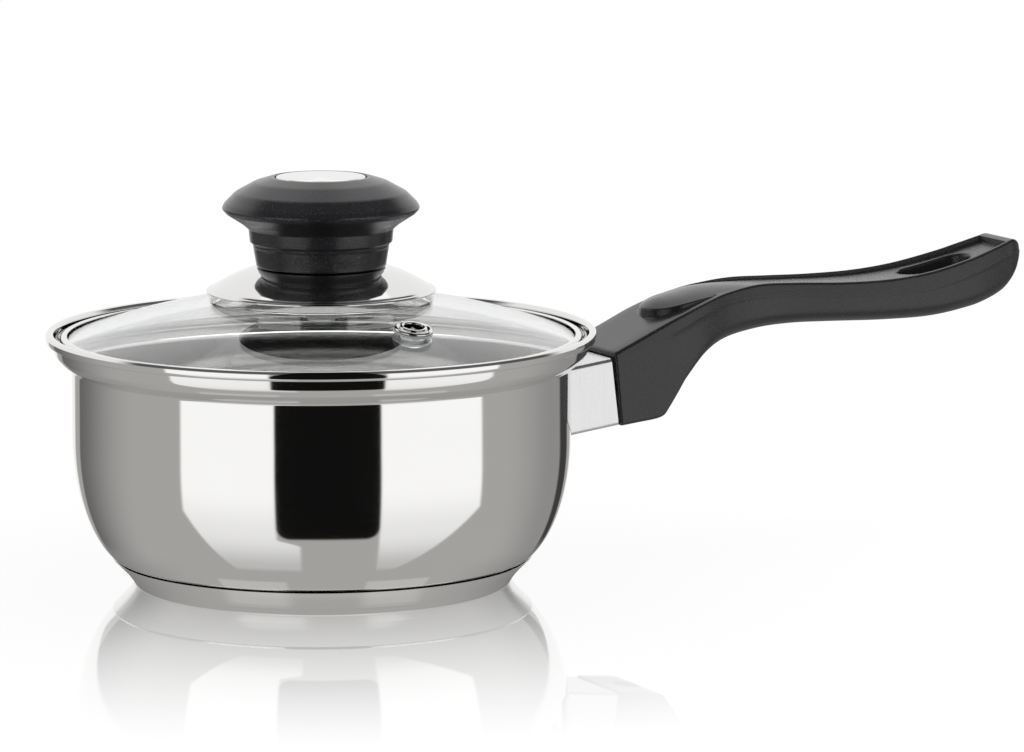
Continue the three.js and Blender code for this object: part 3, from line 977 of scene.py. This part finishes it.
def build_knob():
    """The moulded knob with its stepped neck, and the polished disc let into its top."""
    outline = eased([
        (18.4, 102.9, 0.2), (20.9, 102.9, 0.5), (21.9, 109.0, 0.15), (21.75, 109.25, 0.1),
        (21.95, 109.5, 0.15), (22.15, 110.4, 0.4), (23.0, 110.9, 0.5), (23.4, 115.0, 0.3),
        (25.6, 116.9, 1.5), (30.6, 120.1, 1.2),
        (32.0, 121.7, 0.9), (31.1, 123.4, 1.8), (27.7, 126.8, 6.0), (21.5, 130.2, 9.0), (16.2, 131.8, 1.2),
        (14.9, 131.8, 0.35), (14.9, 130.5, 0.2), (0.0, 130.5, 0.0), (0.0, 117.0, 0.0), (4.3, 117.0, 0.2),
        (4.3, 103.7, 0.3), (8.4, 103.7, 0.3), (8.8, 114.0, 0.8), (17.6, 114.0, 0.8),
    ], 7)
    knob = turned("knob_moulding", outline, "bakelite", segments=192, crease_deg=36)
    hand_over(knob, "lid", "black_bakelite", "knob")
    disc = [
        (0.0, 130.9), (14.3, 130.9), (14.5, 131.1), (14.5, 131.45), *arc(13.9, 131.4, 0.6, 0.5, 5, 80, 6),
        (12.0, 131.93), (6.0, 131.99), (0.0, 132.0),
    ]
    cap = turned("knob_cap_disc", disc, "mirror_steel", closed=False, segments=128)
    hand_over(cap, "lid", "mirror_steel", "knob_cap")


def build_lid_stack():
    """The screw, washers, gaskets and sleeves that clamp the knob to the glass."""
    dome = dome_height(32.8)
    rings = (
        ("rose_gasket_soft", "rose_gasket", 32.8, 34.6, dome + 0.4, dome + 1.2, "silicone", "silicone"),
        ("lower_gasket_soft", "lower_gasket", 2.9, 8.0, 88.9, 89.9, "silicone", "silicone"),
        ("lower_washer_flat", "lower_washer", 2.8, 9.5, 87.7, 88.6, "plated_steel", "fastener_steel"),
        ("spring_washer_flat", "spring_washer", 2.8, 4.6, 86.2, 87.4, "plated_steel", "fastener_steel"),
        ("insert_turned", "knob_insert", 2.75, 4.0, 104.2, 115.6, "turned_brass", "insert_brass"),
    )
    for name, node, inner, outer, low, high, finish, slot in rings:
        section = ring_section(inner, outer, low, high)
        hand_over(turned(name, section, finish, segments=96), "lid", slot, node)
    bush = eased([
        (2.8, 90.3, 0.1), (3.9, 90.3, 0.2), (3.9, 94.75, 0.1), (6.5, 94.75, 0.2), (6.5, 101.5, 0.3),
        (2.8, 101.5, 0.2),
    ], 3)
    hand_over(turned("glass_bush_moulded", bush, "nylon", segments=64), "lid", "nylon", "glass_bush")
    head = flowing([(0.0, KNOB_SCREW_LOW), (2.4, 83.25), (3.9, 83.6), (4.6, 84.3), (4.7, 85.0)], 4)
    shank = [(4.7, 85.9), (2.4, 85.9), (2.4, 112.6), (2.0, 113.0), (0.0, 113.0)]
    screw = turned("knob_screw_machined", head + shank, "plated_steel", closed=False, segments=64)
    recess = cross_recess()
    recess.data.transform(Matrix.Translation((0.0, 0.0, (KNOB_SCREW_LOW - HANDLE_SCREW_LOW) * MM)))
    cut_away(screw, recess)
    hand_over(tidy_mesh(screw, 35), "lid", "fastener_steel", "knob_screw")


def repaint_hidden():
    """Finishes for the pieces whose plain shape is already right."""
    for node, finish in (("base_core", "cast_aluminium"), ("handle_bracket", "plated_steel")):
        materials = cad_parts[node].data.materials
        materials.clear()
        materials.append(finish_named(finish))


# ---------------------------------------------------------------- stage

MIRROR_NEAR, MIRROR_FAR = 0.062, 0.255  # metres from the axis between which the floor's mirror fades
MIRROR_STRENGTH, MIRROR_FADE = 0.78, 1.35
FLOOR_SHADE = 0.06  # the share of the floor that shadows can darken
EDGE_GREY, ROOM_WHITE = 0.4, 0.95  # brightness of the studio's outer walls, and of what lies beyond them
CARD_BEARING, CARD_HALF_WIDTH, CARD_FOOT = 1.25, 8.7, 12.2  # the dark card, in degrees


def studio_light(name, place, aim, width, height, power, glossy=False):
    """A soft rectangular lamp that points at a place on the pan."""
    data = bpy.data.lights.new(name, "AREA")
    data.shape = "RECTANGLE"
    data.size = width
    data.size_y = height
    data.energy = power
    lamp = bpy.data.objects.new(name, data)
    lamp.location = place
    lamp.rotation_euler = (Vector(aim) - Vector(place)).to_track_quat("-Z", "Y").to_euler()
    lamp.visible_glossy = glossy
    lamp.visible_camera = False
    bpy.context.scene.collection.objects.link(lamp)
    return lamp


def floor_finish():
    """White gloss floor, whose mirror image of the pan fades with distance from it."""
    finish = Finish("floor_white", Roughness=0.6)
    x, y, _ = finish.split(finish.place)
    away = finish.maths("SQRT", x * x + y * y)
    near = 1 - finish.node(
        "ShaderNodeMapRange",
        {"clamp": True},
        {"Value": away, "From Min": MIRROR_NEAR, "From Max": MIRROR_FAR},
    )
    mirror = finish.node("ShaderNodeBsdfGlossy", sockets={"Color": (1.0, 1.0, 1.0, 1.0), "Roughness": 0.02})
    chalk = finish.node("ShaderNodeBsdfDiffuse", sockets={"Color": (0.9, 0.9, 0.9, 1.0)})
    lit = finish.node("ShaderNodeEmission", sockets={"Strength": 1.0})
    dull = finish.node("ShaderNodeMixShader", sockets={0: FLOOR_SHADE, 1: lit, 2: chalk})
    shine = MIRROR_STRENGTH * near ** MIRROR_FADE
    mixed = finish.node("ShaderNodeMixShader", sockets={0: shine, 1: dull, 2: mirror})
    finish.tree.links.new(mixed.socket, finish.tree.nodes["Material Output"].inputs["Surface"])
    return finish.material


def studio_finish():
    """What the polished steel mirrors: two soft boxes with a dark card between them, and a grey room.

    A place in the room is named by the slope of steel that would show it to the camera: the bearing of that
    slope from the camera's, and how far it leans down, both in degrees.
    """
    finish = Finish("studio_surround")
    x, y, z = finish.split(finish.place)
    size = finish.maths("SQRT", x * x + y * y + z * z)
    flat = math.cos(SEEN_RISE)
    half_x = x / size - flat * math.sin(SEEN_TURN)
    half_y = y / size - flat * math.cos(SEEN_TURN)
    half_z = z / size + math.sin(SEEN_RISE)
    level = finish.maths("SQRT", half_x * half_x + half_y * half_y)
    front = half_x * -math.sin(SEEN_TURN) + half_y * -math.cos(SEEN_TURN)
    right = half_x * math.cos(SEEN_TURN) + half_y * -math.sin(SEEN_TURN)
    bearing = finish.maths("ARCTAN2", right, front) * (180 / math.pi)
    lean = finish.maths("ARCTAN2", 0 - half_z, level) * (180 / math.pi)

    def between(value, low, high, soft=0.5):
        return finish.step(value, low - soft, low + soft) * finish.step(value, high + soft, high - soft)

    def over(under, paint, mask):
        return under + (paint - under) * mask

    shaded_left = 0.11 + 0.3 * finish.step(bearing, -75.0, -46.0)
    shaded_right = 0.14 * finish.step(bearing, 45.0, 67.0)
    walls = shaded_left - shaded_right + 0.03
    strip = between(bearing, 71.0, 77.6, 0.9)
    walls = walls * (1 - 0.85 * strip)
    walls = over(walls, EDGE_GREY, finish.step(bearing, 77.0, 78.6))
    walls = over(walls, EDGE_GREY, finish.step(bearing, -73.8, -74.8))
    beyond = finish.step(bearing, -78.5, -80.5) + finish.step(bearing, 81.0, 83.0)
    walls = over(walls, ROOM_WHITE, beyond)
    low = finish.step(lean, 24.0, 40.0)
    cap_boxes = between(bearing, -28.5, -9.5) + between(bearing, 11.5, 29.0)
    around = finish.maths("ABSOLUTE", bearing)
    flare_glow = 0.17 * finish.step(lean, 45.0, 51.0) * finish.step(around, 32.0, 12.0)
    walls = over(walls, 0.44 + 0.13 * cap_boxes * finish.step(lean, 37.0, 38.5) + flare_glow, low)
    edges = finish.step(around, 30.0, 85.0) * low
    walls = walls * (1 - 0.55 * edges)
    high = finish.step(lean, -10.8, -14.5)
    room = over(walls, ROOM_WHITE, high)

    past_nine = finish.maths("MAXIMUM", lean - 9.0, 0.0)
    left_end = -10.75 + 5.5 * finish.step(lean, 15.5, 18.0)
    left_box = finish.step(bearing - 0.6 * past_nine, -34.1, -33.1)
    left_box = left_box * finish.step(bearing - left_end, 0.5, -0.5)
    right_box = between(bearing, 13.3, 60.0) * finish.step(bearing + 1.05 * past_nine, 39.3, 38.3)
    boxes = (left_box + right_box) * finish.step(lean, 30.0, 27.0)
    glow = 1.14 - 0.18 * finish.step(lean, 3.0, 14.0) - 0.38 * finish.step(lean, 13.0, 27.0)
    lit = over(room, glow, boxes)

    narrowing = 0.14 * finish.maths("MAXIMUM", 0 - lean, 0.0)
    from_middle = finish.maths("ABSOLUTE", bearing - CARD_BEARING)
    beside = finish.maths("MAXIMUM", from_middle + narrowing - CARD_HALF_WIDTH, 0.0)
    beneath = finish.maths("MAXIMUM", lean - CARD_FOOT, 0.0)
    corner = finish.maths("SQRT", beside * beside + beneath * beneath)
    card = finish.step(corner, 3.6, 3.0) * finish.step(lean, -60.0, -50.0)
    gloom = between(bearing, -44.0, 56.0, 4.0) * between(lean, -54.0, -13.0, 3.0)
    dark = finish.maths("MAXIMUM", card, gloom * 0.9)
    value = lit * (1 - dark) + 0.006
    colour = finish.tint(boxes + high, (1.0, 0.988, 0.968), (1.0, 1.0, 1.0))
    glowing = finish.node("ShaderNodeEmission", sockets={"Color": colour, "Strength": value})
    finish.tree.links.new(glowing.socket, finish.tree.nodes["Material Output"].inputs["Surface"])
    finish.material.cycles.emission_sampling = "NONE"
    return finish.material


def studio_surround():
    """A sphere round the whole set that only reflections see."""
    mesh = bpy.data.meshes.new("studio_surround")
    work = bmesh.new()
    bmesh.ops.create_icosphere(work, subdivisions=4, radius=4.0)
    work.to_mesh(mesh)
    work.free()
    mesh.shade_smooth()
    mesh.materials.append(studio_finish())
    obj = place_piece("studio_surround", mesh)
    obj.visible_camera = False
    obj.visible_diffuse = False
    obj.visible_transmission = False
    obj.visible_volume_scatter = False
    obj.visible_shadow = False


def studio_floor():
    size = 6.0
    mesh = bpy.data.meshes.new("studio_floor")
    corners = [(-size, -size), (size, -size), (size, size), (-size, size)]
    mesh.from_pydata([(x, y, -0.00005) for x, y in corners], [], [(0, 1, 2, 3)])
    mesh.materials.append(floor_finish())
    floor = place_piece("studio_floor", mesh)
    floor.visible_glossy = False


def build_camera():
    stage = bpy.context.scene.saucepan_stage
    data = bpy.data.cameras.new("camera")
    data.lens = stage.lens
    data.sensor_width = 36.0
    data.clip_end = 50.0
    camera = bpy.data.objects.new("camera", data)
    camera.location = stage.camera_place
    dip = math.radians(stage.camera_dip)
    look = Vector((
        math.sin(VIEW_TURN) * math.cos(dip), math.cos(VIEW_TURN) * math.cos(dip), -math.sin(dip)
    ))
    camera.rotation_euler = look.to_track_quat("-Z", "Y").to_euler()
    bpy.context.scene.collection.objects.link(camera)
    bpy.context.scene.camera = camera


def build_world():
    world = bpy.data.worlds.new("studio")
    world.use_nodes = True
    background = world.node_tree.nodes["Background"]
    background.inputs["Color"].default_value = (1.0, 1.0, 1.0, 1.0)
    background.inputs["Strength"].default_value = bpy.context.scene.saucepan_stage.world_light
    bpy.context.scene.world = world
    bpy.context.scene.view_settings.view_transform = "Standard"


# ---------------------------------------------------------------- settings and buttons


class SaucepanPanSizes(bpy.types.PropertyGroup):
    """Fineness of the turned pieces."""

    segments: bpy.props.IntProperty(
        name="Segments", description="Facets round the large turned pieces", default=192, min=32, max=256
    )


class SaucepanFinishes(bpy.types.PropertyGroup):
    """Colours of the pieces that show."""

    steel: bpy.props.FloatVectorProperty(
        name="Polished steel", description="Colour of the mirror-polished steel",
        default=(0.82, 0.815, 0.805), subtype="COLOR", min=0.0, max=1.0,
    )
    satin: bpy.props.FloatVectorProperty(
        name="Satin steel", description="Colour of the brushed flame guard",
        default=(0.8, 0.8, 0.805), subtype="COLOR", min=0.0, max=1.0,
    )
    bakelite: bpy.props.FloatVectorProperty(
        name="Bakelite", description="Colour of the handle and the knob",
        default=(0.008, 0.008, 0.009), subtype="COLOR", min=0.0, max=1.0,
    )


class SaucepanStage(bpy.types.PropertyGroup):
    """Camera and light of the studio."""

    lens: bpy.props.FloatProperty(
        name="Lens", description="Focal length in millimetres", default=195.1, min=20.0
    )
    camera_place: bpy.props.FloatVectorProperty(
        name="Camera place", description="Where the camera stands",
        default=(-0.7507, -1.6089, 0.3473), subtype="TRANSLATION", unit="LENGTH", precision=4,
    )
    camera_dip: bpy.props.FloatProperty(
        name="Camera dip", description="How far the camera looks down, in degrees", default=8.985, precision=3
    )
    world_light: bpy.props.FloatProperty(
        name="Room light", description="Strength of the even light of the room", default=1.0, min=0.0
    )


class SAUCEPAN_OT_pan(bpy.types.Operator):
    """Build the polished pan with its flared, beaded rim"""

    bl_idname = "saucepan.pan"
    bl_label = "Pan"

    def execute(self, context):
        build_pan_body()
        return {"FINISHED"}


class SAUCEPAN_OT_base(bpy.types.Operator):
    """Build the capsule base"""

    bl_idname = "saucepan.base"
    bl_label = "Base"

    def execute(self, context):
        build_base()
        return {"FINISHED"}


class SAUCEPAN_OT_handle(bpy.types.Operator):
    """Build the moulded handle with its thumb panel and hanging slot"""

    bl_idname = "saucepan.handle"
    bl_label = "Handle"

    def execute(self, context):
        build_handle()
        return {"FINISHED"}


class SAUCEPAN_OT_guard(bpy.types.Operator):
    """Build the flame guard and the handle's screw"""

    bl_idname = "saucepan.guard"
    bl_label = "Flame guard and screw"

    def execute(self, context):
        build_guard()
        build_handle_screw()
        repaint_hidden()
        return {"FINISHED"}


class SAUCEPAN_OT_glass(bpy.types.Operator):
    """Build the glass dome and its rolled rim band"""

    bl_idname = "saucepan.glass"
    bl_label = "Glass lid"

    def execute(self, context):
        build_glass()
        build_rim_band()
        return {"FINISHED"}


class SAUCEPAN_OT_vent(bpy.types.Operator):
    """Build the steam vent"""

    bl_idname = "saucepan.vent"
    bl_label = "Steam vent"

    def execute(self, context):
        build_vent()
        return {"FINISHED"}


class SAUCEPAN_OT_knob(bpy.types.Operator):
    """Build the rose, the knob and the stack that clamps them to the glass"""

    bl_idname = "saucepan.knob"
    bl_label = "Knob and rose"

    def execute(self, context):
        build_rose()
        build_knob()
        build_lid_stack()
        return {"FINISHED"}


class SAUCEPAN_OT_stage(bpy.types.Operator):
    """Set up the floor, the light and the camera"""

    bl_idname = "saucepan.stage"
    bl_label = "Stage"

    def execute(self, context):
        studio_floor()
        studio_surround()
        build_world()
        studio_light("overhead", (0.1, 0.1, 1.6), (0.05, 0.0, 0.05), 1.6, 1.6, 14.0)
        build_camera()
        return {"FINISHED"}


STEPS = (
    SAUCEPAN_OT_pan,
    SAUCEPAN_OT_base,
    SAUCEPAN_OT_handle,
    SAUCEPAN_OT_guard,
    SAUCEPAN_OT_glass,
    SAUCEPAN_OT_vent,
    SAUCEPAN_OT_knob,
    SAUCEPAN_OT_stage,
)
SETTINGS = {
    "saucepan_pan": SaucepanPanSizes,
    "saucepan_finishes": SaucepanFinishes,
    "saucepan_stage": SaucepanStage,
}


class SAUCEPAN_PT_panel(bpy.types.Panel):
    """The saucepan's pieces and settings"""

    bl_label = "Saucepan"
    bl_space_type = "VIEW_3D"
    bl_region_type = "UI"
    bl_category = "Saucepan"

    def draw(self, context):
        for step in STEPS:
            self.layout.operator(step.bl_idname)
        for name, group in SETTINGS.items():
            box = self.layout.box()
            for field in group.__annotations__:
                box.prop(getattr(context.scene, name), field)


def register():
    for made in (*SETTINGS.values(), *STEPS, SAUCEPAN_PT_panel):
        bpy.utils.register_class(made)
    for name, group in SETTINGS.items():
        setattr(bpy.types.Scene, name, bpy.props.PointerProperty(type=group))


def unregister():
    for name in SETTINGS:
        delattr(bpy.types.Scene, name)
    for made in (SAUCEPAN_PT_panel, *reversed(STEPS), *reversed(SETTINGS.values())):
        bpy.utils.unregister_class(made)


def main():
    """Runs every step."""
    register()
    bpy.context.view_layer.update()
    for step in STEPS:
        group, action = step.bl_idname.split(".")
        getattr(getattr(bpy.ops, group), action)()


if __name__ == "__main__":
    main()
